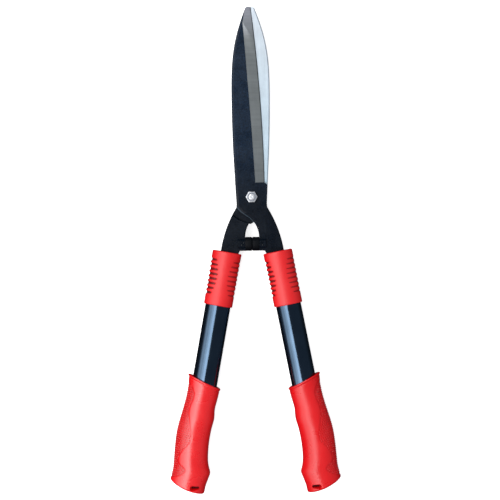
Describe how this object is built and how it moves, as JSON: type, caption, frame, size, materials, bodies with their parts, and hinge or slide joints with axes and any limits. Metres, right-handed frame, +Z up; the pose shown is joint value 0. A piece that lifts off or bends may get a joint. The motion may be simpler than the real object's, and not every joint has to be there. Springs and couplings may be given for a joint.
{
  "type": "hedge shears",
  "caption": "Two-handed hedge shears with long straight blades on a bolted pivot, rubber stop buffers, oval tube handles, ribbed collars and shaped grips.",
  "frame": {"origin": "on the ground under the middle of the closed tool's outline, as it lies flat", "axes": "+Y towards the blade tips along the tool's centre line, +Z up from the ground towards the nut side, +X across the handles"},
  "size_m": [0.2014, 0.5734, 0.0328],
  "materials": {
    "coated_blade_steel": "black non-stick coating, ground bevels bare",
    "zinc_steel": "bright zinc plate",
    "nylon": "matte",
    "buffer_rubber": "satin black",
    "pin_steel": "blackened",
    "moulded_plastic": "moulded black",
    "red_collar": "satin red moulding",
    "painted_tube": "gloss blue-black paint",
    "red_grip": "satin red soft vinyl"
  },
  "bodies": {
    "front_half": {"front_blade": "coated_blade_steel", "pivot_bolt": "zinc_steel", "pivot_nut": "zinc_steel", "nut_insert": "nylon", "thrust_washer": "zinc_steel", "spring_washer": "zinc_steel", "right_bumper": "buffer_rubber", "right_bumper_pin": "pin_steel", "right_tang_insert": "moulded_plastic", "right_tang_pins": "pin_steel", "right_collar": "red_collar", "right_tube": "painted_tube", "right_tube_plug": "moulded_plastic", "right_grip": "red_grip"},
    "rear_half": {"rear_blade": "coated_blade_steel", "left_bumper": "buffer_rubber", "left_bumper_pin": "pin_steel", "left_tang_insert": "moulded_plastic", "left_tang_pins": "pin_steel", "left_collar": "red_collar", "left_tube": "painted_tube", "left_tube_plug": "moulded_plastic", "left_grip": "red_grip"}
  },
  "joints": [
    {"name": "blade_pivot", "type": "hinge", "parent": "front_half", "child": "rear_half", "pos_m": [0, 0.0619, 0.01642], "axis": [0, 0, -1], "range_deg": [0, 70]}
  ]
}
